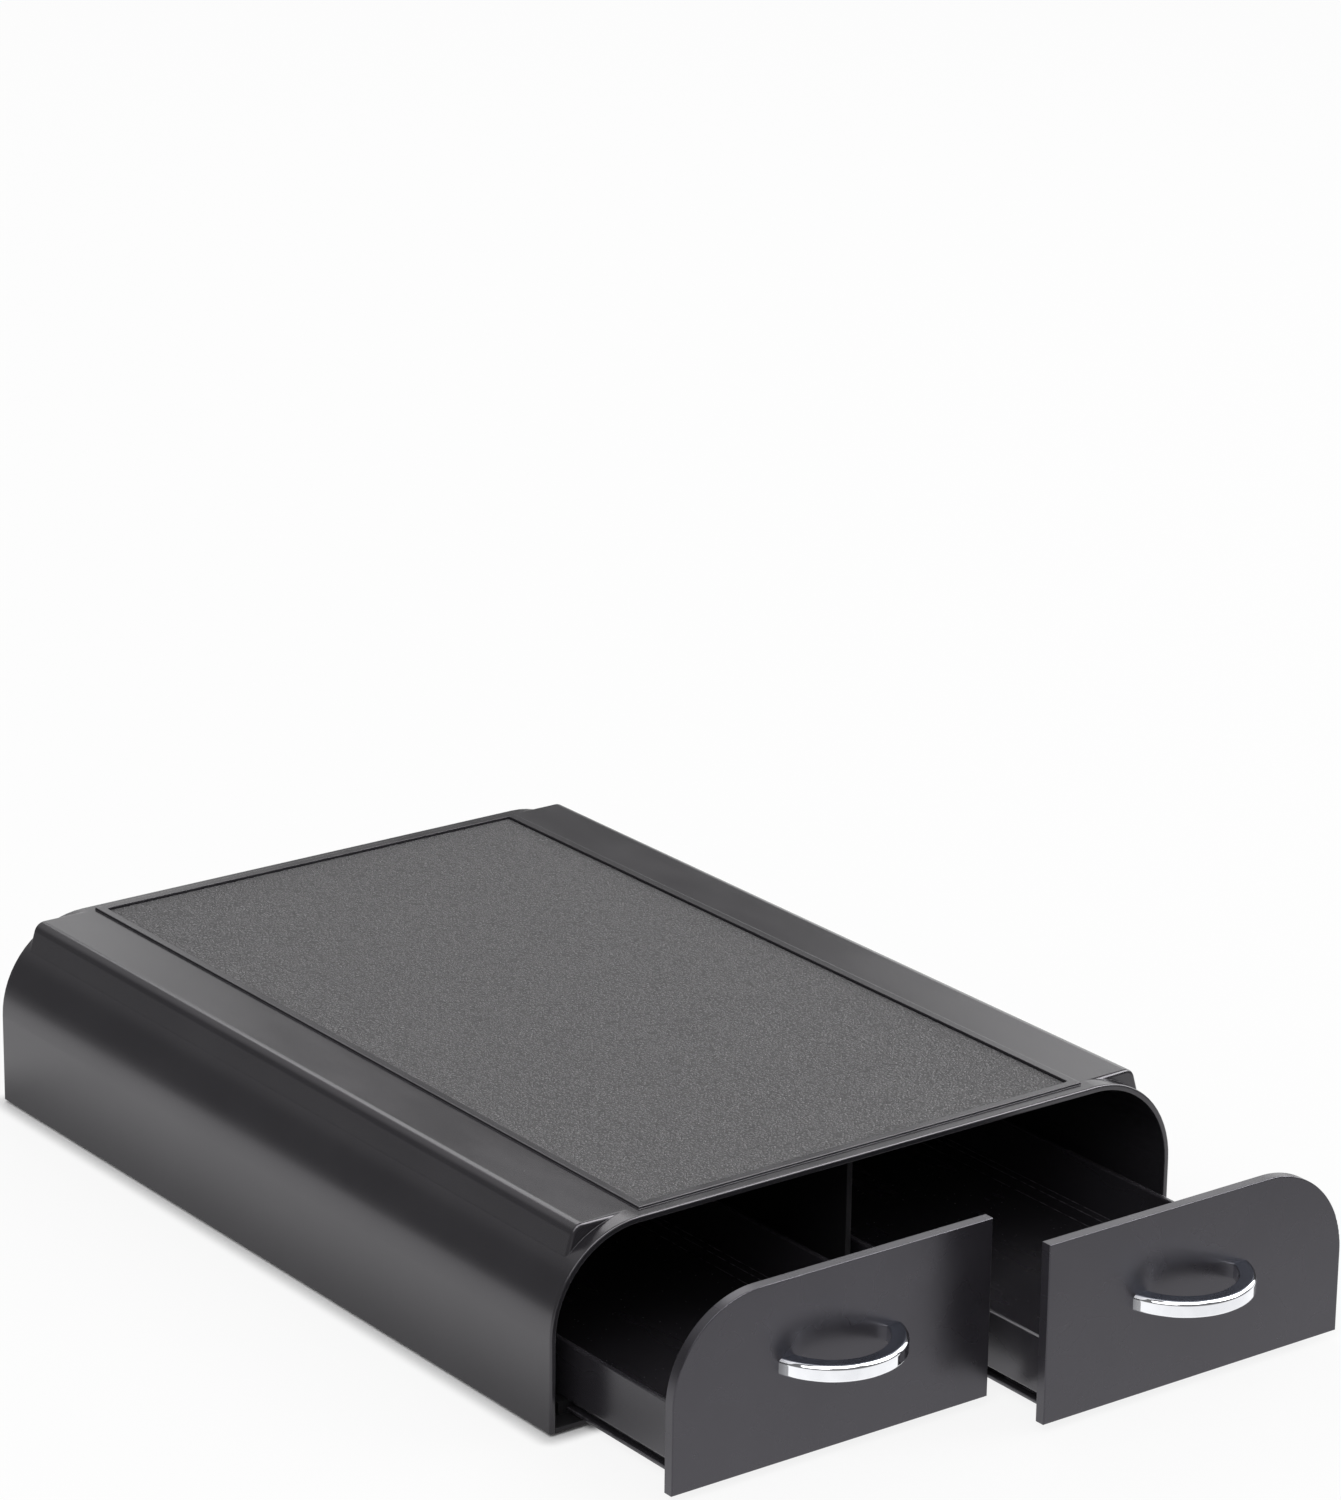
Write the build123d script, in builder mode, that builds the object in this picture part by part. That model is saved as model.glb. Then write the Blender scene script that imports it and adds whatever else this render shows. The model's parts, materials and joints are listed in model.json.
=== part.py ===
from build123d import *
from math import cos, radians, sin, sqrt
import os

# Coffee pod organizer: an arched housing with two drawers that slide out of its front.
# The origin is on the table under the middle of the housing. +X is to the right,
# the drawers open towards -Y, and +Z is up. All sizes are in millimetres.

# Housing
width = 242.0
depth = 320.0
height = 62.3
wall = 2.0
corner_radius = 32.0
rim_fillet = 0.7
front_rim_depth = 5.3
rear_rim_depth = 3.0
mouth_depth = 5.2
mouth_edge = 0.35

# Raised shoulders beside the mat, and the deck that carries the mat
shoulder_inset = 12.2
shoulder_width = 22.7
shoulder_drop = 9.5
shoulder_slant = 2.9
shoulder_fillet = 4.2
shoulder_end_fillet = 1.1
deck_thickness = 2.2
deck_rib_height = 3.0
deck_rib_thickness = 1.6
deck_rib_count = 5
deck_rib_inset = 48.0

# Mat let into the deck, inside a low frame that stands around it
mat_thickness = 1.6
mat_sink = 0.8
mat_groove = 0.3
mat_corner_radius = 0.6
mat_edge_fillet = 0.2
frame_rise = 0.8
frame_border = 2.9
frame_front_offset = 4.3
frame_rear_offset = 4.1
frame_edge_fillet = 0.25

# Base and feet
foot_height = 1.0
foot_radius = 6.0
foot_pocket = 0.7
foot_edge = 0.3
foot_inset_x = 17.0
foot_inset_y = 18.0
base_thickness = 1.6

# Back panel
back_thickness = 2.0
back_recess = 0.5
back_clearance = 0.2
back_boss_length = 9.0
back_boss_angle = 50.0
back_boss_rise = 14.0

# Centre divider
divider_thickness = 2.0
divider_setback = 12.0
divider_foot_width = 8.0
divider_foot_height = 2.4
divider_clearance = 0.3

# Drawer fronts
front_thickness = 3.6
front_clearance = 0.3
front_side_clearance = 0.6
front_gap = 0.8
front_corner_radius = 31.2
front_edge = 0.35

# Trays
tray_rise = 21.7
tray_wall = 1.8
tray_floor = 1.6
tray_rear_space = 4.4
tray_flange = 1.05
tray_groove_height = 2.7
tray_groove_depth = 3.0
tray_edge = 0.4
tray_corner = 3.0

# Guide rails that reach into the grooves of the trays
rail_ledge = 0.45
rail_lip = 1.9
rail_block_width = 3.0
rail_gap_side = 0.4
rail_gap_under = 0.2
rail_gap_lip = 0.35
rail_gap_neck = 0.6
rail_setback = 7.0
rail_rear_space = 6.0

# Travel of the drawers, and the lug and stop that end it
travel = 230.0
stop_gap = 0.5
lug_reach = 4.0
lug_length = 6.0
lug_height = 6.0
lug_lift = 11.0
stop_reach = 4.7
stop_length = 8.0

# How far each drawer stands open at rest
left_pull = 56.8
right_pull = 82.0

# Handles
handle_outer_radius = 24.0
handle_inner_radius = 17.9
handle_reach = 17.6
handle_bar = 5.2
handle_height = 5.1
handle_chamfer = 0.6
handle_lift = 1.85
handle_shift = 2.3

# Screws
base_screw_radius = 1.2
base_screw_length = 9.0
rail_screw_radius = 0.9
rail_screw_length = 4.6
back_screw_radius = 1.2
back_screw_length = 8.0
handle_screw_radius = 1.5
handle_screw_bite = 3.0
front_screw_radius = 1.2
front_screw_bite = 2.6
flat_head_ratio = 1.8
flat_head_depth = 1.0
pan_head_ratio = 1.9
pan_head_height = 1.7
pan_dome = 0.6
boss_radius = 2.8
boss_merge = 0.6
boss_gap = 0.9
slot_width = 0.6
slot_depth = 0.6
slot_share = 1.1
base_screw_inset = 30.0
rail_screw_inset = 21.0
rail_screw_count = 4
front_screw_inset = 15.0
front_screw_count = 3
front_screw_lift = 14.0

# Levels and places worked out from the sizes above
left = -1
right = 1
base_z = foot_height
shell_top = base_z + height
panel_top = base_z + base_thickness
half_width = width / 2
inner_half = half_width - wall
front_y = -depth / 2
back_y = depth / 2
mouth_top = shell_top - wall
mouth_radius = corner_radius - wall
corner_x = half_width - corner_radius
corner_z = shell_top - corner_radius
shoulder_half_width = half_width - shoulder_inset
shoulder_top = shell_top
frame_top = shoulder_top + frame_rise
mat_top = frame_top - mat_sink
recess_z = mat_top - mat_thickness
frame_half_width = shoulder_half_width - shoulder_width
recess_half_width = frame_half_width - frame_border
mat_half_width = recess_half_width - mat_groove
frame_front_y = front_y + frame_front_offset
frame_length = depth - frame_front_offset - frame_rear_offset
recess_front_y = frame_front_y + frame_border
recess_length = frame_length - 2 * frame_border
deck_under = recess_z - deck_thickness
deck_rib_pitch = (depth - 2 * deck_rib_inset) / (deck_rib_count - 1)
back_inner_y = back_y - back_recess - back_thickness

boss_x = inner_half - boss_radius + boss_merge
tray_inner_x = divider_foot_width / 2 + divider_clearance + rail_block_width + rail_gap_side
tray_outer_x = boss_x - boss_radius - boss_gap - rail_block_width - rail_gap_side
tray_width = tray_outer_x - tray_inner_x
tray_half = tray_width / 2
tray_center = (tray_outer_x + tray_inner_x) / 2
ledge_top = panel_top + rail_ledge
tray_bottom = ledge_top + rail_gap_under
flange_top = tray_bottom + tray_flange
lip_bottom = flange_top + rail_gap_lip
lip_top = lip_bottom + rail_lip
wall_bottom = flange_top + tray_groove_height
tray_length = back_inner_y - tray_rear_space - front_y - front_thickness
rail_front_y = front_y + rail_setback
rail_length = back_inner_y - rail_rear_space - rail_front_y

front_bottom = panel_top + front_clearance
front_top = mouth_top - front_clearance
front_outer = inner_half - front_side_clearance
front_center = (front_gap / 2 + front_outer) / 2
handle_z = (front_bottom + front_top) / 2 + handle_lift
handle_center = front_center - handle_shift
lug_z = tray_bottom + lug_lift
lug_front_closed = front_y + front_thickness + tray_length - tray_corner - lug_length
stop_rear_y = lug_front_closed - travel - stop_gap
divider_front_y = front_y + divider_setback
divider_length = back_inner_y - divider_front_y
mat_length = recess_length - 2 * mat_groove
base_screw_pitch = depth / 2 - base_screw_inset
rail_screw_pitch = (rail_length - 2 * rail_screw_inset) / (rail_screw_count - 1)
front_screw_pitch = (tray_width - 2 * front_screw_inset) / (front_screw_count - 1)
front_screw_z = tray_bottom + front_screw_lift
handle_outer_half = sqrt(handle_outer_radius**2 - (handle_outer_radius - handle_reach) ** 2)
handle_inner_reach = handle_reach - handle_bar
handle_inner_half = sqrt(handle_inner_radius**2 - (handle_inner_radius - handle_inner_reach) ** 2)
handle_foot_x = (handle_outer_half + handle_inner_half) / 2


# A sketch plane that faces the front, at this place along the depth
def upright(y):
    return Plane((0, y, 0), x_dir=(1, 0, 0), z_dir=(0, -1, 0))


# A sketch plane that faces up, at this height
def level(z):
    return Plane.XY.offset(z)


# The profile of a flat-headed screw: its head's face is at 0 and its shank points up
def flat_profile(radius, length):
    return [
        (0, 0),
        (radius * flat_head_ratio, 0),
        (radius, flat_head_depth),
        (radius, length),
        (0, length),
    ]


# The profile of a pan-headed screw: its head stands below 0 and its shank points up
def pan_profile(radius, length):
    head_radius = radius * pan_head_ratio
    return [
        (0, -pan_head_height),
        (head_radius * pan_dome, -pan_head_height),
        (head_radius, -pan_head_height * pan_dome),
        (head_radius, 0),
        (radius, 0),
        (radius, length),
        (0, length),
    ]


# One screw turned from its profile, with a cross cut in its head unless it is a cutter
def make_screw(profile, slotted=True):
    with BuildPart() as screw:
        with BuildSketch(Plane.XZ):
            with BuildLine():
                Polyline(*profile, close=True)
            make_face()
        revolve(axis=Axis.Z)
        if slotted:
            with BuildSketch(level(profile[0][1])):
                slot_length = profile[1][0] * slot_share
                Rectangle(slot_length, slot_width)
                Rectangle(slot_width, slot_length)
            extrude(amount=slot_depth, mode=Mode.SUBTRACT)
    return screw.part


# A group of equal screws, as separate solids in one piece
def screw_group(places, profile):
    with BuildPart() as group:
        with Locations(*places):
            add(make_screw(profile))
    return group


# The holes that fit a group of screws, cut from the part in work
def cut_screws(places, profile):
    with Locations(*places):
        add(make_screw(profile, slotted=False), mode=Mode.SUBTRACT)


# A screw that points up, and one that points to the front
def upward(x, y, z):
    return Location((x, y, z))


def forward(x, y, z):
    return Location((x, y, z), (90, 0, 0))


# Where the base, rail and back screws go
base_places = [
    upward(side * boss_x, row * base_screw_pitch, base_z)
    for side in (left, right)
    for row in (-1, 0, 1)
]
rail_offset = rail_gap_side + rail_block_width / 2
rail_rows = [
    rail_front_y + rail_screw_inset + i * rail_screw_pitch for i in range(rail_screw_count)
]
rail_places = [
    upward(side * tray_center + edge * (tray_half + rail_offset), row, base_z)
    for side in (left, right)
    for edge in (left, right)
    for row in rail_rows
]
boss_arm = mouth_radius - boss_radius + boss_merge
high_boss_x = corner_x + boss_arm * cos(radians(back_boss_angle))
high_boss_z = corner_z + boss_arm * sin(radians(back_boss_angle))
back_points = [
    (side * x, z)
    for side in (left, right)
    for x, z in ((boss_x, base_z + back_boss_rise), (high_boss_x, high_boss_z))
]
back_places = [forward(x, back_inner_y + back_thickness, z) for x, z in back_points]
base_profile = flat_profile(base_screw_radius, base_screw_length)
rail_profile = flat_profile(rail_screw_radius, rail_screw_length)
back_profile = flat_profile(back_screw_radius, back_screw_length)

os.makedirs("parts", exist_ok=True)

body_length = depth - front_rim_depth - rear_rim_depth


# One raised shoulder, as a block with rounded edges that goes into the arch
def shoulder_block(side):
    with BuildPart() as block:
        with BuildSketch(upright(front_y + front_rim_depth)):
            with BuildLine():
                Polyline(
                    (side * corner_x, shoulder_top),
                    (side * shoulder_half_width, shoulder_top),
                    (side * (shoulder_half_width + shoulder_slant), shoulder_top - shoulder_drop),
                    (side * corner_x, shoulder_top - shoulder_drop),
                    close=True,
                )
            make_face()
        extrude(amount=-body_length)
        ridge = block.faces().sort_by(Axis.Z)[-1].edges().filter_by(Axis.Y)
        fillet(ridge.sort_by(Axis.X)[-1 if side == right else 0], shoulder_fillet)
        ends = block.faces().sort_by(Axis.Y)[0].edges() + block.faces().sort_by(Axis.Y)[-1].edges()
        rounded = [
            edge
            for edge in ends
            if edge.center().Z > shoulder_top - shoulder_drop + shoulder_end_fillet
            and side * edge.center().X > corner_x + shoulder_end_fillet
        ]
        fillet(rounded, shoulder_end_fillet)
    return block.part


shoulders = [shoulder_block(side) for side in (left, right)]

# Housing shell: the arch with its raised shoulders
with BuildPart() as housing_shell:
    with BuildSketch(upright(front_y)) as arch:
        with Locations((0, base_z)):
            Rectangle(width, height, align=(Align.CENTER, Align.MIN))
        fillet(arch.vertices().group_by(Axis.Y)[-1], corner_radius)
    extrude(amount=-depth)
    add(shoulders)
    rim_edges = housing_shell.faces().sort_by(Axis.Y)[0].edges()
    rim_edges += housing_shell.faces().sort_by(Axis.Y)[-1].edges()
    fillet([edge for edge in rim_edges if edge.center().Z > base_z + rim_fillet], rim_fillet)

    # Its inside: the mouth, the space under the deck, the seat of the back panel
    # and the hollow of each shoulder
    with BuildSketch(upright(front_y)) as mouth:
        Rectangle(2 * inner_half, mouth_top, align=(Align.CENTER, Align.MIN))
        fillet(mouth.vertices().group_by(Axis.Y)[-1], mouth_radius)
    extrude(amount=-mouth_depth, mode=Mode.SUBTRACT)
    mouth_edges = housing_shell.edges(Select.LAST).group_by(Axis.Y)[0]
    fillet([edge for edge in mouth_edges if edge.center().Z > base_z + rim_fillet], mouth_edge)
    with BuildSketch(upright(front_y)):
        add(mouth.sketch_local)
        with Locations((0, deck_under)):
            Rectangle(width, height, align=(Align.CENTER, Align.MIN), mode=Mode.SUBTRACT)
    extrude(amount=-depth, mode=Mode.SUBTRACT)
    with BuildSketch(upright(back_inner_y)):
        add(mouth.sketch_local)
    extrude(amount=-depth, mode=Mode.SUBTRACT)
    hollow_outer = shoulder_half_width - wall
    with BuildSketch(upright(front_y + front_rim_depth + wall)):
        with Locations((corner_x, corner_z)):
            Rectangle(
                hollow_outer - corner_x,
                shoulder_top - wall - corner_z,
                align=(Align.MIN, Align.MIN),
            )
        mirror(about=Plane.YZ)
    extrude(amount=-(body_length - 2 * wall), mode=Mode.SUBTRACT)

    # The frame around the mat, and the recess that takes the mat
    with BuildSketch(level(shoulder_top)):
        with Locations((0, frame_front_y)):
            Rectangle(2 * frame_half_width, frame_length, align=(Align.CENTER, Align.MIN))
    extrude(amount=frame_rise)
    frame_face = housing_shell.faces().filter_by(Axis.Z).sort_by(Axis.Z)[-1]
    fillet(frame_face.edges(), frame_edge_fillet)
    with BuildSketch(level(recess_z)) as recess:
        with Locations((0, recess_front_y)):
            Rectangle(2 * recess_half_width, recess_length, align=(Align.CENTER, Align.MIN))
        fillet(recess.vertices(), mat_corner_radius + mat_groove)
    extrude(amount=height, mode=Mode.SUBTRACT)

    # Ribs under the deck, and the pair that holds the top of the divider
    rib_start = divider_thickness / 2 + divider_clearance
    rib_reach = corner_x - rib_start
    with BuildSketch(level(deck_under)):
        for side in (left, right):
            with Locations((side * (rib_start + rib_reach / 2), 0)):
                with GridLocations(0, deck_rib_pitch, 1, deck_rib_count):
                    Rectangle(rib_reach, deck_rib_thickness)
            with Locations((side * (rib_start + deck_rib_thickness / 2), divider_front_y)):
                Rectangle(deck_rib_thickness, divider_length, align=(Align.CENTER, Align.MIN))
    extrude(amount=-deck_rib_height)

    # Bosses for the screws of the base and the back
    with BuildSketch(level(panel_top)):
        with GridLocations(2 * boss_x, base_screw_pitch, 2, 3):
            Circle(boss_radius)
    extrude(amount=base_screw_length)
    with BuildSketch(upright(back_inner_y)):
        with Locations(*back_points):
            Circle(boss_radius)
    extrude(amount=back_boss_length)
    cut_screws(base_places, base_profile)
    cut_screws(back_places, back_profile)
housing_shell.part.label = "housing_shell"
export_step(housing_shell.part, "parts/housing_shell.step")

# Mat in the recess of the deck
with BuildPart() as top_mat:
    with BuildSketch(level(recess_z)) as mat_outline:
        with Locations((0, recess_front_y + mat_groove)):
            Rectangle(2 * mat_half_width, mat_length, align=(Align.CENTER, Align.MIN))
        fillet(mat_outline.vertices(), mat_corner_radius)
    extrude(amount=mat_thickness)
    fillet(top_mat.faces().sort_by(Axis.Z)[-1].edges(), mat_edge_fillet)
top_mat.part.label = "top_mat"
export_step(top_mat.part, "parts/top_mat.step")

# Base panel, with pockets for the feet and sunk holes for the screws
foot_x = half_width - foot_inset_x
foot_y = depth / 2 - foot_inset_y
foot_points = [(0, 0)] + [(x, y) for x in (-foot_x, foot_x) for y in (-foot_y, foot_y)]
with BuildPart() as base_panel:
    with BuildSketch(level(base_z)):
        Rectangle(2 * inner_half, depth)
    extrude(amount=base_thickness)
    with BuildSketch(level(base_z)):
        with Locations(*foot_points):
            Circle(foot_radius)
    extrude(amount=foot_pocket, mode=Mode.SUBTRACT)
    cut_screws(base_places, base_profile)
    cut_screws(rail_places, rail_profile)
base_panel.part.label = "base_panel"
export_step(base_panel.part, "parts/base_panel.step")

# Rubber feet: one under each corner and one under the middle
with BuildPart() as rubber_feet:
    with BuildSketch(level(0)):
        with Locations(*foot_points):
            Circle(foot_radius)
    extrude(amount=foot_height + foot_pocket)
    fillet(rubber_feet.edges().group_by(Axis.Z)[0], foot_edge)
rubber_feet.part.label = "rubber_feet"
export_step(rubber_feet.part, "parts/rubber_feet.step")

# Back panel
with BuildPart() as back_panel:
    with BuildSketch(upright(back_inner_y)) as back_outline:
        with Locations((0, panel_top)):
            Rectangle(
                2 * (inner_half - back_clearance),
                mouth_top - back_clearance - panel_top,
                align=(Align.CENTER, Align.MIN),
            )
        fillet(back_outline.vertices().group_by(Axis.Y)[-1], mouth_radius)
    extrude(amount=-back_thickness)
    cut_screws(back_places, back_profile)
back_panel.part.label = "back_panel"
export_step(back_panel.part, "parts/back_panel.step")

# Centre divider, with the stop for each drawer
with BuildPart() as centre_divider:
    with BuildSketch(upright(divider_front_y)):
        with Locations((0, panel_top)):
            Rectangle(divider_thickness, deck_under - panel_top, align=(Align.CENTER, Align.MIN))
            Rectangle(
                divider_foot_width,
                divider_foot_height,
                align=(Align.CENTER, Align.MIN),
            )
    extrude(amount=-divider_length)
    with BuildSketch(upright(stop_rear_y)):
        with Locations((0, lug_z)):
            Rectangle(divider_thickness + 2 * stop_reach, lug_height, align=(Align.CENTER, Align.MIN))
    extrude(amount=stop_length)
centre_divider.part.label = "centre_divider"
export_step(centre_divider.part, "parts/centre_divider.step")


# A guide rail beside one edge of a tray: its ledge carries the tray's flange
# and its lip lies in the tray's groove
def guide_rail(side, edge):
    face_x = side * tray_center + edge * tray_half
    near_x = face_x + edge * rail_gap_side
    far_x = near_x + edge * rail_block_width
    lip_x = face_x - edge * (tray_groove_depth - rail_gap_neck)
    with BuildPart() as rail:
        with BuildSketch(upright(rail_front_y)):
            with BuildLine():
                Polyline(
                    (far_x, panel_top),
                    (lip_x, panel_top),
                    (lip_x, ledge_top),
                    (near_x, ledge_top),
                    (near_x, lip_bottom),
                    (lip_x, lip_bottom),
                    (lip_x, lip_top),
                    (far_x, lip_top),
                    close=True,
                )
            make_face()
        extrude(amount=-rail_length)
        cut_screws(rail_places, rail_profile)
    return rail


for side, side_name in ((left, "left"), (right, "right")):
    for edge, edge_name in ((side, "outer"), (-side, "inner")):
        rail = guide_rail(side, edge)
        rail.part.label = f"{side_name}_{edge_name}_rail"
        export_step(rail.part, f"parts/{side_name}_{edge_name}_rail.step")

# Screws of the housing
base_screws = screw_group(base_places, base_profile)
base_screws.part.label = "base_screws"
export_step(base_screws.part, "parts/base_screws.step")
rail_screws = screw_group(rail_places, rail_profile)
rail_screws.part.label = "rail_screws"
export_step(rail_screws.part, "parts/rail_screws.step")
back_screws = screw_group(back_places, back_profile)
back_screws.part.label = "back_screws"
export_step(back_screws.part, "parts/back_screws.step")


# Where the screws of a handle and of a tray go, for a drawer that stands open by this pull
def handle_places(side, pull):
    rear_y = front_y - pull + front_thickness
    return [
        forward(side * handle_center + foot * handle_foot_x, rear_y, handle_z)
        for foot in (left, right)
    ]


def front_places(side, pull):
    wall_y = front_y - pull + front_thickness + tray_wall
    middle = (front_screw_count - 1) / 2
    return [
        forward(side * tray_center + (i - middle) * front_screw_pitch, wall_y, front_screw_z)
        for i in range(front_screw_count)
    ]


handle_profile = pan_profile(handle_screw_radius, front_thickness + handle_screw_bite)
front_profile = pan_profile(front_screw_radius, tray_wall + front_screw_bite)


# The flat front of a drawer, rounded at its outer top corner
def drawer_front(side, pull):
    with BuildPart() as front:
        with BuildSketch(upright(front_y - pull)) as outline:
            with Locations((side * front_center, front_bottom)):
                Rectangle(
                    front_outer - front_gap / 2,
                    front_top - front_bottom,
                    align=(Align.CENTER, Align.MIN),
                )
            top_corners = outline.vertices().group_by(Axis.Y)[-1].sort_by(Axis.X)
            fillet(top_corners[-1] if side == right else top_corners[0], front_corner_radius)
        extrude(amount=-front_thickness)
        fillet(front.faces().sort_by(Axis.Y)[0].edges(), front_edge)
        cut_screws(handle_places(side, pull), handle_profile)
        cut_screws(front_places(side, pull), front_profile)
    return front


# The bowed handle on a drawer front
def drawer_handle(side, pull):
    center_x = side * handle_center
    face_y = front_y - pull
    with BuildPart() as handle:
        with BuildSketch(level(handle_z - handle_height / 2)):
            with Locations((center_x, face_y + handle_outer_radius - handle_reach)):
                Circle(handle_outer_radius)
            with Locations((center_x, face_y + handle_inner_radius - handle_reach + handle_bar)):
                Circle(handle_inner_radius, mode=Mode.SUBTRACT)
            with Locations((center_x, face_y)):
                Rectangle(
                    2 * handle_outer_radius,
                    2 * handle_outer_radius,
                    align=(Align.CENTER, Align.MIN),
                    mode=Mode.SUBTRACT,
                )
        extrude(amount=handle_height)
        chamfer(handle.edges().filter_by(GeomType.CIRCLE), handle_chamfer)
        cut_screws(handle_places(side, pull), handle_profile)
    return handle


# The tray of a drawer: a box with a groove along each side near its floor, and a lug
# at the rear of its inner side that meets the stop on the divider
def drawer_tray(side, pull):
    center_x = side * tray_center
    start_y = front_y - pull + front_thickness
    middle_y = start_y + tray_length / 2
    with BuildPart() as tray:
        with BuildSketch(level(tray_bottom)) as outline:
            with Locations((center_x, middle_y)):
                Rectangle(tray_width, tray_length)
            fillet(outline.vertices().group_by(Axis.Y)[-1], tray_corner)
        extrude(amount=tray_rise)
        with BuildSketch(upright(start_y)):
            with Locations((center_x, flange_top)):
                Rectangle(tray_width, tray_groove_height, align=(Align.CENTER, Align.MIN))
                Rectangle(
                    tray_width - 2 * tray_groove_depth,
                    tray_groove_height,
                    align=(Align.CENTER, Align.MIN),
                    mode=Mode.SUBTRACT,
                )
        extrude(amount=-tray_length, mode=Mode.SUBTRACT)
        with BuildSketch(level(wall_bottom + tray_wall)):
            with Locations((center_x, middle_y)):
                Rectangle(tray_width - 2 * tray_wall, tray_length - 2 * tray_wall)
        extrude(amount=tray_rise, mode=Mode.SUBTRACT)
        with BuildSketch(level(tray_bottom + tray_floor)):
            with Locations((center_x, middle_y)):
                Rectangle(
                    tray_width - 2 * tray_wall - 2 * tray_groove_depth,
                    tray_length - 2 * tray_wall,
                )
        extrude(amount=tray_rise, mode=Mode.SUBTRACT)
        fillet(tray.faces().sort_by(Axis.Z)[-1].edges(), tray_edge)
        with BuildSketch(level(lug_z)):
            with Locations((center_x - side * tray_half, start_y + tray_length - tray_corner)):
                Rectangle(2 * lug_reach, lug_length, align=(Align.CENTER, Align.MAX))
            with Locations((center_x, middle_y)):
                Rectangle(tray_width - 2 * tray_wall, tray_length, mode=Mode.SUBTRACT)
        extrude(amount=lug_height)
        cut_screws(front_places(side, pull), front_profile)
    return tray


for side, side_name, pull in ((left, "left", left_pull), (right, "right", right_pull)):
    tray = drawer_tray(side, pull)
    tray.part.label = f"{side_name}_drawer_tray"
    export_step(tray.part, f"parts/{side_name}_drawer_tray.step")
    front = drawer_front(side, pull)
    front.part.label = f"{side_name}_drawer_front"
    export_step(front.part, f"parts/{side_name}_drawer_front.step")
    handle = drawer_handle(side, pull)
    handle.part.label = f"{side_name}_handle"
    export_step(handle.part, f"parts/{side_name}_handle.step")
    handle_screws = screw_group(handle_places(side, pull), handle_profile)
    handle_screws.part.label = f"{side_name}_handle_screws"
    export_step(handle_screws.part, f"parts/{side_name}_handle_screws.step")
    front_screws = screw_group(front_places(side, pull), front_profile)
    front_screws.part.label = f"{side_name}_front_screws"
    export_step(front_screws.part, f"parts/{side_name}_front_screws.step")
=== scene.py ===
import json
from math import acos, cos, radians, sin

import bpy
from mathutils import Matrix, Vector


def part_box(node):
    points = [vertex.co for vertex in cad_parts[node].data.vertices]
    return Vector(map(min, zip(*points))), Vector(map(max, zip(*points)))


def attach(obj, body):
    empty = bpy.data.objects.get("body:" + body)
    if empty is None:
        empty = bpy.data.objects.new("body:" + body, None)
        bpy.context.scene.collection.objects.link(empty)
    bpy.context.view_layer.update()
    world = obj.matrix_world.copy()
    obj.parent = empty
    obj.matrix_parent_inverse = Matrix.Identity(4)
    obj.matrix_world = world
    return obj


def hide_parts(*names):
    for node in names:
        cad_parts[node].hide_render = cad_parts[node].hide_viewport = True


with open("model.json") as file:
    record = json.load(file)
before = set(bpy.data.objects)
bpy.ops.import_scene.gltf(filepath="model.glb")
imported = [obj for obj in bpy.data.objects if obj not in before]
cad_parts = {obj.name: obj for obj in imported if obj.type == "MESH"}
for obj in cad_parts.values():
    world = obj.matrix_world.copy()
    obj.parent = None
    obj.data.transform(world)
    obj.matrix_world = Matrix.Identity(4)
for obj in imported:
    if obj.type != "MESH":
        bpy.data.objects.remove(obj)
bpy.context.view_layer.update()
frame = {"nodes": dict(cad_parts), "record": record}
nodes = frame["nodes"]
scene = bpy.context.scene
mm = 0.001  # the scene is in metres, and fine sizes below are in millimetres
white = (1, 1, 1, 1)
print("organizer loaded:", len(nodes), "nodes")


# Small helpers for node trees

def feed(tree, socket, value):  # a value is another node's output, or a plain number or colour
    if hasattr(value, "is_output"):
        tree.links.new(value, socket)
    else:
        socket.default_value = value


def addNode(tree, kind, inputs=None, **settings):
    node = tree.nodes.new(kind)
    for name, value in settings.items():
        setattr(node, name, value)
    for name, value in (inputs or {}).items():
        feed(tree, node.inputs[name], value)
    return node


def calc(tree, operation, first, second=0.0, clamp=False):
    return addNode(tree, "ShaderNodeMath", {0: first, 1: second}, operation=operation, use_clamp=clamp).outputs[0]


def spread(tree, value, low, high, toLow=0.0, toHigh=1.0):
    limits = {"From Min": low, "From Max": high, "To Min": toLow, "To Max": toHigh}
    node = addNode(tree, "ShaderNodeMapRange", {"Value": value, **limits}, interpolation_type="SMOOTHSTEP")
    return node.outputs["Result"]


def between(tree, limits, mask):
    low, high = limits
    return calc(tree, "ADD", low, calc(tree, "MULTIPLY", mask, high - low))


def blendColors(tree, factor, first, second):
    mix = addNode(tree, "ShaderNodeMix", {0: factor, 6: first, 7: second}, data_type="RGBA")  # 6 and 7 are its colours
    return mix.outputs[2]


def vectorMath(tree, operation, first, second):
    return addNode(tree, "ShaderNodeVectorMath", {0: first, 1: second}, operation=operation).outputs


def objectPlace(tree):
    return addNode(tree, "ShaderNodeTexCoord").outputs["Object"]


def surfaceNormal(tree):
    return addNode(tree, "ShaderNodeNewGeometry").outputs["Normal"]


def splitVector(tree, vector):
    return addNode(tree, "ShaderNodeSeparateXYZ", {"Vector": vector}).outputs


def perSize(tree, size):
    return calc(tree, "DIVIDE", 1 / mm, size)  # a texture scale that makes cells of this many millimetres


def noise(tree, place, size, settings):
    return addNode(tree, "ShaderNodeTexNoise", {"Vector": place, "Scale": perSize(tree, size), **settings}).outputs


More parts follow.
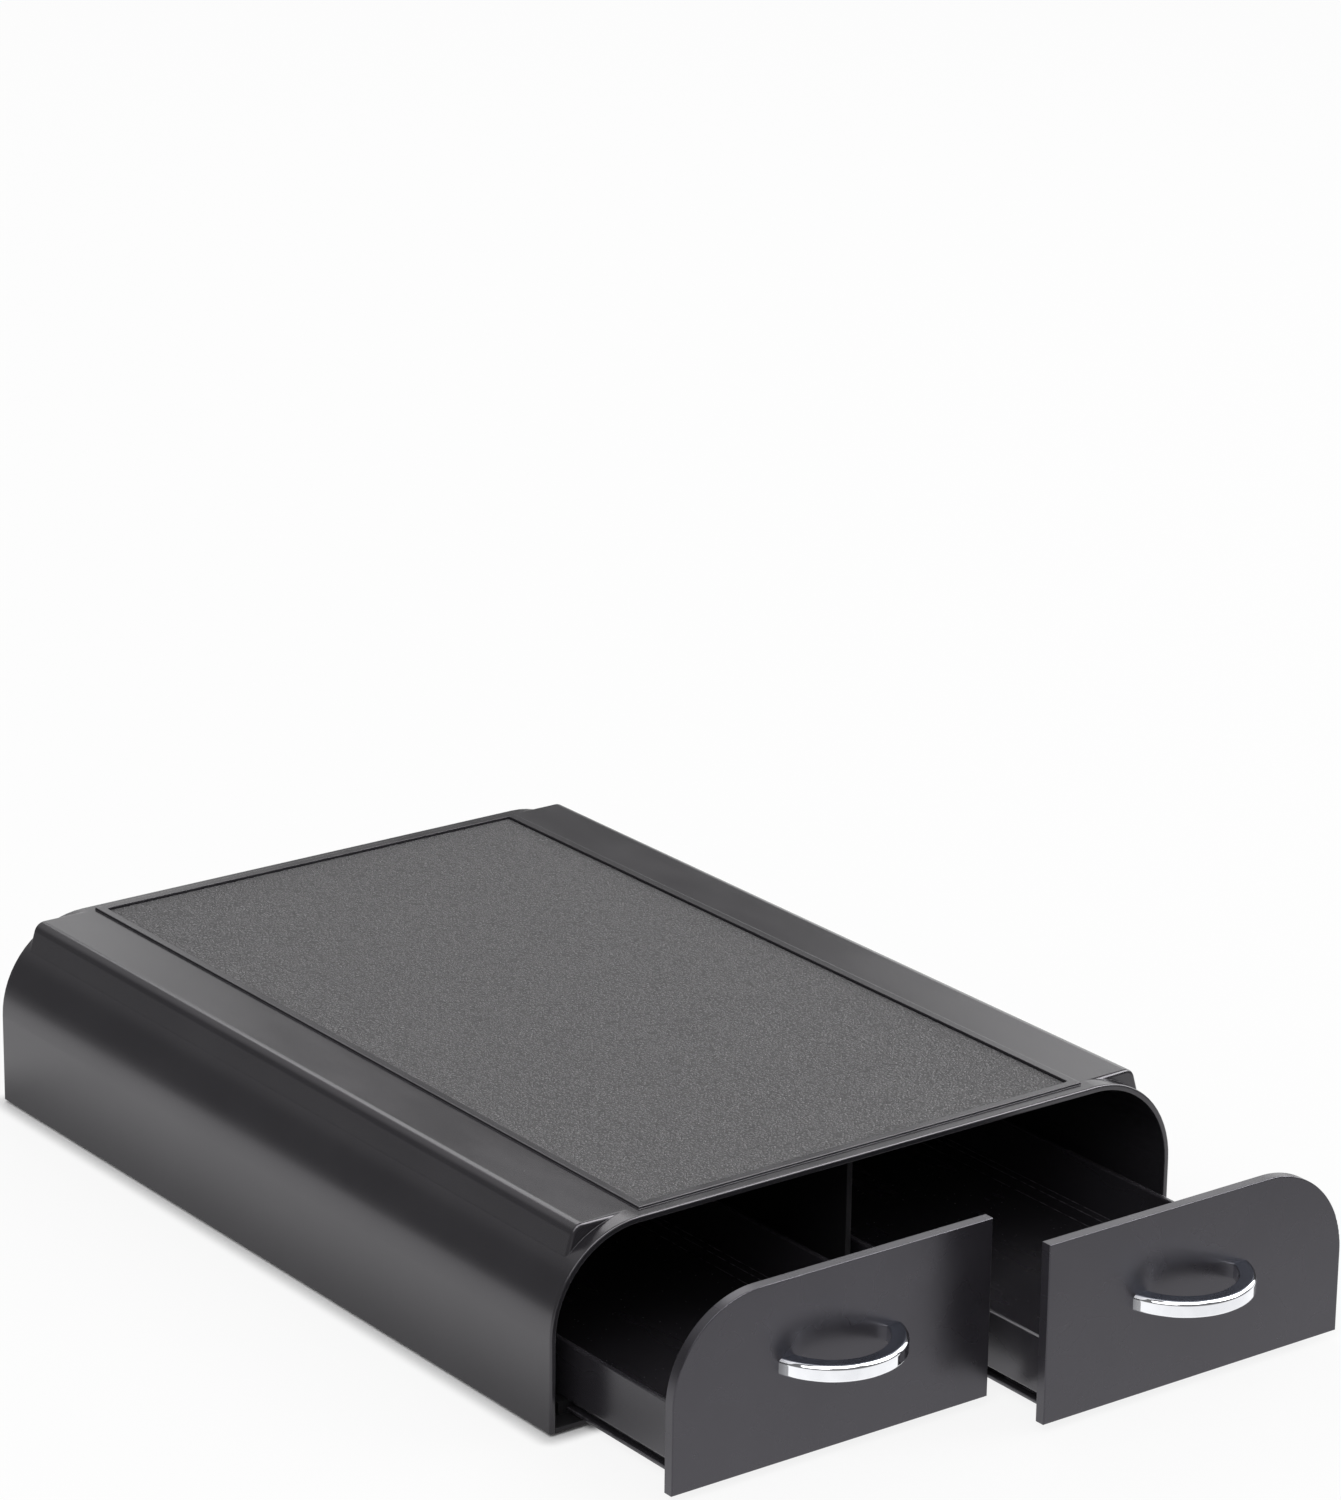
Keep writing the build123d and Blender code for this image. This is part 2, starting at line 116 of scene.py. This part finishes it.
def startGroup(name, inputs, outputs):
    group = bpy.data.node_groups.new(name, "ShaderNodeTree")
    for label, value in inputs.items():
        socket = group.interface.new_socket(name=label, in_out="INPUT", socket_type="NodeSocketFloat")
        socket.default_value = value
    for label, kind in outputs.items():
        group.interface.new_socket(name=label, in_out="OUTPUT", socket_type="NodeSocket" + kind)
    given = group.nodes.new("NodeGroupInput")
    result = group.nodes.new("NodeGroupOutput")
    return group, given.outputs, result.inputs


def placeGroup(tree, group, **values):
    return addNode(tree, "ShaderNodeGroup", values, node_tree=group).outputs


# Shared effects, each a group that every material uses with its own values

grainEffect = {
    "fine": {"Detail": 3.0, "Roughness": 0.6}, "cloud": {"Detail": 4.0, "Roughness": 0.55}, "flow": {"Detail": 2.0},
    "stretch": (1.0, 0.25, 1.0), "contrast": (0.3, 0.7),
}


def buildMouldedGrain(look):
    group, given, result = startGroup(
        "mouldedGrain",
        {"grainSize": 0.5, "cloudSize": 40.0, "flowSize": 14.0},
        {"height": "Float", "cloud": "Float", "flow": "Float"},
    )
    place = objectPlace(group)
    stretched = addNode(group, "ShaderNodeMapping", {"Vector": place, "Scale": look["stretch"]}).outputs[0]
    fine = noise(group, place, given["grainSize"], look["fine"])
    cloud = noise(group, place, given["cloudSize"], look["cloud"])
    flow = noise(group, stretched, given["flowSize"], look["flow"])
    group.links.new(fine["Fac"], result["height"])
    group.links.new(spread(group, cloud["Fac"], *look["contrast"]), result["cloud"])
    group.links.new(spread(group, flow["Fac"], *look["contrast"]), result["flow"])
    return group


# Edge mask: wear on the steel and rubber, wear and a painted highlight on the plastics
wearAndHighlightEffect = {"samples": 6, "breakup": {"Detail": 3.0}, "contrast": (0.3, 0.65)}


def buildEdgeWearAndHighlight(look):
    group, given, result = startGroup(
        "edgeWearAndHighlight",
        {"radius": 0.5, "reach": 0.25, "breakup": 3.0},
        {"mask": "Float", "normal": "Vector"},
    )
    radius = calc(group, "MULTIPLY", given["radius"], mm)
    rounded = addNode(group, "ShaderNodeBevel", {"Radius": radius}, samples=look["samples"]).outputs[0]
    likeness = vectorMath(group, "DOT_PRODUCT", rounded, surfaceNormal(group))["Value"]
    turned = calc(group, "SUBTRACT", 1.0, likeness, clamp=True)
    broken = noise(group, objectPlace(group), given["breakup"], look["breakup"])
    strength = calc(group, "DIVIDE", turned, given["reach"], clamp=True)
    patches = spread(group, broken["Fac"], *look["contrast"])
    group.links.new(calc(group, "MULTIPLY", strength, patches, clamp=True), result["mask"])
    group.links.new(rounded, result["normal"])
    return group


dustEffect = {
    "patch": {"Detail": 5.0}, "contrast": (0.35, 0.75),
    "speck": (0.05, 0.16), "bare": 0.86,  # how wide a speck is, and the share of cells without one
    "lying": (0.2, 0.95),  # dust lies on faces that look up
}


def buildDustFilm(look):
    group, given, result = startGroup(
        "dustFilm",
        {"amount": 0.1, "patchSize": 60.0, "speckSize": 1.2, "lint": 0.2},
        {"mask": "Float"},
    )
    place = objectPlace(group)
    patch = noise(group, place, given["patchSize"], look["patch"])
    scale = perSize(group, given["speckSize"])
    speck = addNode(group, "ShaderNodeTexVoronoi", {"Vector": place, "Scale": scale, "Randomness": 1.0}).outputs
    dot = spread(group, speck["Distance"], *look["speck"], 1.0, 0.0)
    chance = addNode(group, "ShaderNodeSeparateColor", {"Color": speck["Color"]}).outputs[0]
    chosen = calc(group, "GREATER_THAN", chance, look["bare"])
    specks = calc(group, "MULTIPLY", calc(group, "MULTIPLY", dot, chosen), given["lint"])
    lying = spread(group, splitVector(group, surfaceNormal(group))["Z"], *look["lying"])
    film = calc(group, "MULTIPLY", spread(group, patch["Fac"], *look["contrast"]), given["amount"])
    group.links.new(calc(group, "MULTIPLY", calc(group, "ADD", film, specks), lying, clamp=True), result["mask"])
    return group


leatherEffect = {
    "warp": {"Detail": 2.0}, "middle": (0.5, 0.5, 0.5), "pores": {"Detail": 2.0},
    "dome": (0.0, 0.35), "domeShare": 0.75, "poreShare": 0.25, "creaseStart": 0.02,
}


def buildLeatherGrain(look):
    group, given, result = startGroup(
        "leatherGrain",
        {"cellSize": 1.3, "pull": 0.35, "poreSize": 0.35, "creaseWidth": 0.16},
        {"height": "Float", "shadedCrease": "Float"},
    )
    place = objectPlace(group)
    warp = noise(group, place, given["cellSize"], look["warp"])
    centred = vectorMath(group, "SUBTRACT", warp["Color"], look["middle"])[0]
    reach = calc(group, "MULTIPLY", calc(group, "MULTIPLY", given["cellSize"], mm), given["pull"])
    push = addNode(group, "ShaderNodeVectorMath", {0: centred, "Scale": reach}, operation="SCALE").outputs[0]
    moved = vectorMath(group, "ADD", place, push)[0]
    scale = perSize(group, given["cellSize"])
    cells = addNode(group, "ShaderNodeTexVoronoi", {"Vector": moved, "Scale": scale}, feature="DISTANCE_TO_EDGE")
    inward = cells.outputs["Distance"]
    pores = noise(group, place, given["poreSize"], look["pores"])
    dome = calc(group, "MULTIPLY", spread(group, inward, *look["dome"]), look["domeShare"])
    pitting = calc(group, "MULTIPLY", pores["Fac"], look["poreShare"])
    group.links.new(calc(group, "ADD", dome, pitting), result["height"])
    # crease mask: it dulls the gloss and carries the painted shade of the creases
    shadedCrease = spread(group, inward, look["creaseStart"], given["creaseWidth"], 1.0, 0.0)
    group.links.new(shadedCrease, result["shadedCrease"])
    return group


mouldedGrain = buildMouldedGrain(grainEffect)
edgeWearAndHighlight = buildEdgeWearAndHighlight(wearAndHighlightEffect)
dustFilm = buildDustFilm(dustEffect)
leatherGrain = buildLeatherGrain(leatherEffect)
print("effect groups built")


def startMaterial(name, metallic=0.0, specular=0.5, tint=white):
    material = bpy.data.materials.new(name)
    material.use_nodes = True
    tree = material.node_tree
    shader = tree.nodes["Principled BSDF"]
    shader.inputs["Metallic"].default_value = metallic
    shader.inputs["Specular IOR Level"].default_value = specular
    shader.inputs["Specular Tint"].default_value = tint
    return material, tree, shader


def joinBump(tree, shader, height, depth, normal=None):
    bump = addNode(tree, "ShaderNodeBump", {"Height": height, "Strength": 1.0, "Distance": depth * mm})
    if normal is not None:
        tree.links.new(normal, bump.inputs["Normal"])
    tree.links.new(bump.outputs[0], shader.inputs["Normal"])


# Moulded plastics of the housing, the inner parts, the trays and the drawer fronts
dustMatt = 0.5  # how much a full film of dust roughens a plastic
plastics = {
    "housing_plastic": {
        "color": (0.0215, 0.0205, 0.0235, 1), "shade": (0.0182, 0.0173, 0.0200, 1),
        "wornAndHighlighted": (0.055, 0.052, 0.060, 1), "dust": (0.16, 0.155, 0.15, 1),
        "rough": (0.18, 0.23), "gloss": 0.66, "tint": (0.975, 0.945, 1.0, 1), "grain": 0.45, "depth": 0.008,
        "edge": 0.35, "reach": 0.30, "wearAndHighlight": 0.55, "dustAmount": 0.035, "lint": 0.10,
    },
    "inner_plastic": {
        "color": (0.0085, 0.0082, 0.0092, 1), "shade": (0.0062, 0.0060, 0.0068, 1),
        "wornAndHighlighted": (0.030, 0.029, 0.031, 1), "dust": (0.10, 0.097, 0.094, 1),
        "rough": (0.42, 0.52), "gloss": 0.42, "tint": (0.985, 0.955, 1.0, 1), "grain": 0.7, "depth": 0.02,
        "edge": 0.3, "reach": 0.30, "wearAndHighlight": 0.35, "dustAmount": 0.05, "lint": 0.12,
    },
    "tray_plastic": {
        "color": (0.0232, 0.0218, 0.0255, 1), "shade": (0.0188, 0.0176, 0.0208, 1),
        "wornAndHighlighted": (0.130, 0.125, 0.138, 1), "dust": (0.15, 0.145, 0.14, 1),
        "rough": (0.22, 0.28), "gloss": 0.69, "tint": (0.945, 0.925, 1.0, 1), "grain": 0.5, "depth": 0.010,
        "edge": 0.7, "reach": 0.22, "wearAndHighlight": 0.8, "dustAmount": 0.03, "lint": 0.16,
    },
    "front_plastic": {
        "color": (0.0200, 0.0188, 0.0225, 1), "shade": (0.0170, 0.0158, 0.0192, 1),
        "wornAndHighlighted": (0.060, 0.057, 0.066, 1), "dust": (0.16, 0.155, 0.15, 1),
        "rough": (0.26, 0.31), "gloss": 0.70, "tint": (0.925, 0.900, 1.0, 1), "grain": 0.38, "depth": 0.008,
        "edge": 0.22, "reach": 0.30, "wearAndHighlight": 0.35, "dustAmount": 0.02, "lint": 0.08,
    },
}


def makePlastic(name, look):
    material, tree, shader = startMaterial(name, specular=look["gloss"], tint=look["tint"])
    grain = placeGroup(tree, mouldedGrain, grainSize=look["grain"])
    edges = placeGroup(tree, edgeWearAndHighlight, radius=look["edge"], reach=look["reach"])
    dust = placeGroup(tree, dustFilm, amount=look["dustAmount"], lint=look["lint"])
    base = blendColors(tree, grain["cloud"], look["shade"], look["color"])
    # edges are lightened: partly wear, partly a painted highlight along the rounded edges
    wornAndHighlighted = blendColors(tree, calc(tree, "MULTIPLY", edges["mask"], look["wearAndHighlight"]), base, look["wornAndHighlighted"])
    tree.links.new(blendColors(tree, dust["mask"], wornAndHighlighted, look["dust"]), shader.inputs["Base Color"])
    rough = between(tree, look["rough"], grain["flow"])
    dulled = calc(tree, "ADD", rough, calc(tree, "MULTIPLY", dust["mask"], dustMatt))
    tree.links.new(dulled, shader.inputs["Roughness"])
    joinBump(tree, shader, grain["height"], look["depth"], edges["normal"])
    return material


# Pebbled mat on the deck, duller in its creases, with painted shade darkening the creases
matLook = {
    "color": (0.0160, 0.0155, 0.0175, 1), "shadedCrease": (0.0040, 0.0040, 0.0046, 1), "dust": (0.12, 0.118, 0.115, 1),
    "cell": 1.15, "pore": 0.4, "depth": 0.30, "creaseWidth": 0.34, "cloudSize": 1.6,
    "rough": (0.22, 0.26), "matt": 0.6, "gloss": 1.0, "tint": (1.0, 0.98, 1.0, 1),
    "dustAmount": 0.02, "lint": 0.12,
}


def makeMatGrain(name, look):
    material, tree, shader = startMaterial(name, specular=look["gloss"], tint=look["tint"])
    leather = placeGroup(
        tree, leatherGrain, cellSize=look["cell"], poreSize=look["pore"], creaseWidth=look["creaseWidth"])
    grain = placeGroup(tree, mouldedGrain, grainSize=look["pore"], cloudSize=look["cloudSize"])
    dust = placeGroup(tree, dustFilm, amount=look["dustAmount"], lint=look["lint"])
    # painted shade: the creases between pebbles are darker in colour
    base = blendColors(tree, leather["shadedCrease"], look["color"], look["shadedCrease"])
    tree.links.new(blendColors(tree, dust["mask"], base, look["dust"]), shader.inputs["Base Color"])
    rough = between(tree, look["rough"], grain["cloud"])
    matt = calc(tree, "MULTIPLY", leather["shadedCrease"], look["matt"])
    tree.links.new(calc(tree, "ADD", rough, matt), shader.inputs["Roughness"])
    joinBump(tree, shader, leather["height"], look["depth"])
    return material


# Chrome of the handles, with a painted dark reflection on the faces that look up
chromeLook = {
    "color": (0.86, 0.87, 0.90, 1), "smudge": (0.80, 0.81, 0.84, 1), "paintedTopReflection": (0.44, 0.48, 0.56, 1),
    "upward": (0.90, 0.99), "rough": (0.03, 0.07), "ripple": 9.0, "cloudSize": 6.0, "depth": 0.003,
}


def makeChrome(name, look):
    material, tree, shader = startMaterial(name, metallic=1.0)
    grain = placeGroup(tree, mouldedGrain, grainSize=look["ripple"], cloudSize=look["cloudSize"])
    base = blendColors(tree, grain["cloud"], look["color"], look["smudge"])
    # painted reflection: faces that look up get a dark blue-grey colour, standing in for the dark plate they reflect
    upward = spread(tree, splitVector(tree, surfaceNormal(tree))["Z"], *look["upward"])
    tree.links.new(blendColors(tree, upward, base, look["paintedTopReflection"]), shader.inputs["Base Color"])
    tree.links.new(between(tree, look["rough"], grain["cloud"]), shader.inputs["Roughness"])
    joinBump(tree, shader, grain["height"], look["depth"])
    return material


# Plated steel of the screws
steelLook = {
    "color": (0.42, 0.42, 0.43, 1), "dark": (0.26, 0.26, 0.27, 1), "rough": (0.28, 0.42),
    "grain": 0.25, "cloudSize": 3.0, "edge": 0.15, "breakup": 1.0, "depth": 0.01,
}


def makeSteel(name, look):
    material, tree, shader = startMaterial(name, metallic=1.0)
    grain = placeGroup(tree, mouldedGrain, grainSize=look["grain"], cloudSize=look["cloudSize"])
    edges = placeGroup(tree, edgeWearAndHighlight, radius=look["edge"], breakup=look["breakup"])
    tone = blendColors(tree, grain["cloud"], look["dark"], look["color"])
    tree.links.new(blendColors(tree, edges["mask"], tone, look["color"]), shader.inputs["Base Color"])
    tree.links.new(between(tree, look["rough"], grain["flow"]), shader.inputs["Roughness"])
    joinBump(tree, shader, grain["height"], look["depth"], edges["normal"])
    return material


# Rubber of the feet
rubberLook = {
    "color": (0.022, 0.021, 0.021, 1), "shadedCrease": (0.012, 0.012, 0.012, 1), "dust": (0.15, 0.145, 0.14, 1),
    "cell": 0.6, "pore": 0.25, "depth": 0.02, "rough": (0.62, 0.78), "gloss": 0.4,
    "edge": 0.4, "scuff": 0.25, "cloudSize": 5.0,
}


def makeRubber(name, look):
    material, tree, shader = startMaterial(name, specular=look["gloss"])
    leather = placeGroup(tree, leatherGrain, cellSize=look["cell"], poreSize=look["pore"])
    edges = placeGroup(tree, edgeWearAndHighlight, radius=look["edge"])
    grain = placeGroup(tree, mouldedGrain, cloudSize=look["cloudSize"])
    # painted shade: the creases of the rubber grain are darker in colour
    base = blendColors(tree, leather["shadedCrease"], look["color"], look["shadedCrease"])
    scuffed = calc(tree, "MULTIPLY", edges["mask"], look["scuff"])
    tree.links.new(blendColors(tree, scuffed, base, look["dust"]), shader.inputs["Base Color"])
    tree.links.new(between(tree, look["rough"], grain["cloud"]), shader.inputs["Roughness"])
    joinBump(tree, shader, leather["height"], look["depth"], edges["normal"])
    return material


finishes = {slotName: makePlastic(slotName, look) for slotName, look in plastics.items()}
finishes["mat_grain"] = makeMatGrain("mat_grain", matLook)
finishes["handle_chrome"] = makeChrome("handle_chrome", chromeLook)
finishes["screw_steel"] = makeSteel("screw_steel", steelLook)
finishes["foot_rubber"] = makeRubber("foot_rubber", rubberLook)

for part in frame["record"]["subparts"]:
    for materialSlot in nodes[part["node"]].material_slots:
        materialSlot.material = finishes[part["material_slot"]]
print("finishes placed:", ", ".join(sorted(finishes)))


# Polished handles: a bar with rounded corners that is swept between two arcs, flush with the drawer front
handleLook = {
    "outerRadius": 24.0, "innerRadius": 17.9, "bar": 5.2, "stations": 96, "steps": 4, "margin": 0.04,
    # the radius and the sloped flat of each corner: outer top, inner top, inner bottom, outer bottom
    "corners": ((1.05, 0.35), (0.45, 0.0), (0.45, 0.0), (0.45, 0.3)),
    "slope": 45,
}


def handleSection(look, width, height):
    halves = (width / 2, height / 2)
    slide = look["margin"] * mm  # keeps the flat faces flat beside each corner
    slope, steps = look["slope"], look["steps"]
    points = []
    for turn, (radius, flat) in enumerate(look["corners"]):
        radius, drop = radius * mm, flat * mm * sin(radians(slope))
        ahead, aside = halves[turn % 2], halves[(turn + 1) % 2]
        bends = (
            (ahead - radius, aside - radius - drop, 0),
            (ahead - radius - drop, aside - radius, slope),
        )
        local = [(ahead, aside - radius - drop - slide)]
        for middleU, middleV, start in bends:
            for step in range(steps + 1):
                angle = radians(start + slope * step / steps)
                local.append((middleU + radius * cos(angle), middleV + radius * sin(angle)))
        local.append((ahead - radius - drop - slide, aside))
        if not drop:
            local.pop(steps + 1)  # without a flat the two bends share this point
        c, s = round(cos(radians(90 * turn))), round(sin(radians(90 * turn)))
        points += [(p * c - q * s, p * s + q * c) for p, q in local]
    return points


def makeHandle(name, node, body, look):
    low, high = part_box(node)
    middleX = (low[0] + high[0]) / 2
    middleZ, height = (low[2] + high[2]) / 2, high[2] - low[2]
    outer, inner = look["outerRadius"] * mm, look["innerRadius"] * mm
    outerY, innerY = low[1] + outer, low[1] + look["bar"] * mm + inner
    outerEnd, innerEnd = acos((outerY - high[1]) / outer), acos((innerY - high[1]) / inner)
    vertices, faces = [], []
    for station in range(look["stations"] + 1):
        share = 2 * station / look["stations"] - 1  # from -1 at one end to 1 at the other
        a, b = share * outerEnd, share * innerEnd
        outside = Vector((middleX + outer * sin(a), outerY - outer * cos(a), 0))
        inside = Vector((middleX + inner * sin(b), innerY - inner * cos(b), 0))
        across = outside - inside
        section = handleSection(look, across.length, height)
        across.normalize()
        centre = (outside + inside) / 2
        vertices += [tuple(centre + across * u + Vector((0, 0, middleZ + v))) for u, v in section]
    count = len(section)
    for station in range(look["stations"]):
        first, second = station * count, (station + 1) * count
        for i in range(count):
            j = (i + 1) % count
            faces.append((first + i, first + j, second + j, second + i))
    lastRing = look["stations"] * count
    faces += [tuple(reversed(range(count))), tuple(range(lastRing, lastRing + count))]
    mesh = bpy.data.meshes.new(name)
    mesh.from_pydata(vertices, [], faces)
    mesh.validate()
    mesh.polygons.foreach_set("use_smooth", [True] * len(mesh.polygons))
    for edge in mesh.edges:  # the two end faces keep sharp rims
        rings = {vertex // count for vertex in edge.vertices}
        edge.use_edge_sharp = len(rings) == 1 and rings <= {0, look["stations"]}
    mesh.materials.append(finishes["handle_chrome"])
    handle = bpy.data.objects.new(name, mesh)
    scene.collection.objects.link(handle)
    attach(handle, body)
    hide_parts(node)


for side in ("left", "right"):
    makeHandle(side + "HandleBow", side + "_handle", side + "_drawer", handleLook)
print("handles made")


# Camera at the photograph's viewing angle
cameraLook = {
    "place": (-0.98305, -1.36534, 0.71372), "yaw": -36.8436, "tilt": 18.5955, "roll": 0.7709, "lens": 132.397,
}


def makeCamera(look):
    yaw, tilt, roll = (radians(look[key]) for key in ("yaw", "tilt", "roll"))
    back = Vector((sin(yaw) * cos(tilt), -cos(yaw) * cos(tilt), sin(tilt)))
    right = Vector((cos(yaw), sin(yaw), 0))
    up = right.cross(-back)
    turnedRight = right * cos(roll) + up * sin(roll)
    turnedUp = up * cos(roll) - right * sin(roll)
    turned = Matrix((turnedRight, turnedUp, back)).transposed().to_4x4()
    camera = bpy.data.objects.new("camera", bpy.data.cameras.new("camera"))
    camera.data.lens = look["lens"]
    camera.matrix_world = Matrix.Translation(look["place"]) @ turned
    scene.collection.objects.link(camera)
    scene.camera = camera


makeCamera(cameraLook)


# Soft studio: three large lamps, a white floor, and soft panels that only gloss sees
lamps = {
    "keyLamp": {"place": (-1.6, -1.2, 2.0), "size": (1.6, 1.6), "watts": 26.0},
    "fillLamp": {"place": (2.1, -0.9, 1.6), "size": (1.8, 1.4), "watts": 18.0},
    "backLamp": {"place": (1.0, 1.8, 1.85), "size": (1.6, 1.0), "watts": 11.0},
}
worldLook = {
    "ambient": 0.55, "base": 0.18,
    # each panel is a round patch of sky: its direction, its full and its outer half angle, and its strength
    "panels": {
        "sweepBehind": {"toward": (0.66, 0.74, 0.12), "inner": 14.0, "outer": 34.0, "strength": 1.34},
        "topPanel": {"toward": (0.56, -0.29, 0.78), "inner": 15.0, "outer": 24.0, "strength": 7.5},
        "topLeftPanel": {"toward": (-0.06, -0.33, 0.94), "inner": 15.0, "outer": 24.0, "strength": 5.0},
        "topRightPanel": {"toward": (0.92, 0.16, 0.37), "inner": 8.0, "outer": 20.0, "strength": 3.5},
        "backPanel": {"toward": (-0.15, 0.62, 0.77), "inner": 8.0, "outer": 34.0, "strength": 0.55},
    },
    # the dark gap in the middle of the sweep, across its width
    "gap": {"panel": "sweepBehind", "across": (0.811, -0.585, 0.0), "inner": 0.045, "outer": 0.100, "level": 0.05},
}
floorLook = {
    "size": 12.0, "color": (0.93, 0.93, 0.93, 1), "glow": 0.86, "paintedShadowReach": 7.0,
    "shine": (0.50, 1.14), "shineReach": 45.0, "dim": (40.0, 500.0), "far": 0.30,
}


def makeLamp(name, look):
    data = bpy.data.lights.new(name, "AREA")
    data.shape = "RECTANGLE"
    data.size, data.size_y = look["size"]
    data.energy = look["watts"]
    lamp = bpy.data.objects.new(name, data)
    lamp.location = look["place"]
    lamp.rotation_euler = (-Vector(look["place"])).to_track_quat("-Z", "Y").to_euler()
    scene.collection.objects.link(lamp)


def rayKinds(tree):
    rays = addNode(tree, "ShaderNodeLightPath").outputs
    return rays["Is Camera Ray"], calc(tree, "MAXIMUM", rays["Is Glossy Ray"], rays["Is Transmission Ray"])


def makeWorld(look):
    world = bpy.data.worlds.new("studio")
    scene.world = world
    world.use_nodes = True
    tree = world.node_tree
    direction = addNode(tree, "ShaderNodeTexCoord").outputs["Generated"]

    def along(toward):
        return vectorMath(tree, "DOT_PRODUCT", direction, Vector(toward).normalized())["Value"]

    gap = look["gap"]
    beside = calc(tree, "ABSOLUTE", along(gap["across"]))
    openings = {gap["panel"]: spread(tree, beside, gap["inner"], gap["outer"], gap["level"], 1.0)}
    shine = look["base"]
    for name, panel in look["panels"].items():
        edge, full = cos(radians(panel["outer"])), cos(radians(panel["inner"]))
        bright = spread(tree, along(panel["toward"]), edge, full, 0.0, panel["strength"])
        shine = calc(tree, "ADD", calc(tree, "MULTIPLY", bright, openings.get(name, 1.0)), shine)
    seen, mirrored = rayKinds(tree)
    lit = calc(tree, "SUBTRACT", 1.0, calc(tree, "ADD", mirrored, seen), clamp=True)
    shown = calc(tree, "ADD", calc(tree, "MULTIPLY", mirrored, shine), seen)
    level = calc(tree, "ADD", shown, calc(tree, "MULTIPLY", lit, look["ambient"]))
    backdrop = tree.nodes["Background"]
    backdrop.inputs["Color"].default_value = white
    tree.links.new(level, backdrop.inputs["Strength"])


def makeFloor(look):
    half = look["size"] / 2
    mesh = bpy.data.meshes.new("floor")
    mesh.from_pydata([(-half, -half, 0), (half, -half, 0), (half, half, 0), (-half, half, 0)], [], [(0, 1, 2, 3)])
    floor = bpy.data.objects.new("floor", mesh)
    scene.collection.objects.link(floor)
    material = bpy.data.materials.new("floorPaper")
    material.use_nodes = True
    tree = material.node_tree
    tree.nodes.clear()
    place = splitVector(tree, objectPlace(tree))
    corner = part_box("housing_shell")[1]
    beside = [
        calc(tree, "MAXIMUM", calc(tree, "SUBTRACT", calc(tree, "ABSOLUTE", place[axis]), corner[axis]), 0.0)
        for axis in (0, 1)
    ]
    away = calc(tree, "SQRT", calc(tree, "ADD", *(calc(tree, "MULTIPLY", gap, gap) for gap in beside)))
    seen, mirrored = rayKinds(tree)
    # in reflections the floor glows less near the housing, a painted shadow, and fades far away
    near = spread(tree, away, 0.0, look["shineReach"] * mm, *look["shine"])
    dimming = spread(tree, away, *(reach * mm for reach in look["dim"]), 1.0, look["far"])
    glowBeyondPaintedShadow = spread(tree, away, 0.0, look["paintedShadowReach"] * mm, 0.0, look["glow"])  # no glow under the housing and less within a few millimetres of it, a painted contact shadow where the paper's own shadow shows
    paper = addNode(tree, "ShaderNodeBsdfDiffuse", {"Color": look["color"]}).outputs[0]
    glow = addNode(tree, "ShaderNodeEmission", {"Strength": 1.0}).outputs[0]
    shine = addNode(tree, "ShaderNodeEmission", {"Strength": calc(tree, "MULTIPLY", near, dimming)}).outputs[0]
    glowing = calc(tree, "MULTIPLY", seen, glowBeyondPaintedShadow)
    lit = addNode(tree, "ShaderNodeMixShader", {0: glowing, 1: paper, 2: glow}).outputs[0]
    mix = addNode(tree, "ShaderNodeMixShader", {0: mirrored, 1: lit, 2: shine}).outputs[0]
    addNode(tree, "ShaderNodeOutputMaterial", {"Surface": mix})
    mesh.materials.append(material)


for lampName, lampLook in lamps.items():
    makeLamp(lampName, lampLook)
makeWorld(worldLook)
makeFloor(floorLook)
scene.view_settings.view_transform = "Standard"
print("camera, lamps and floor placed")
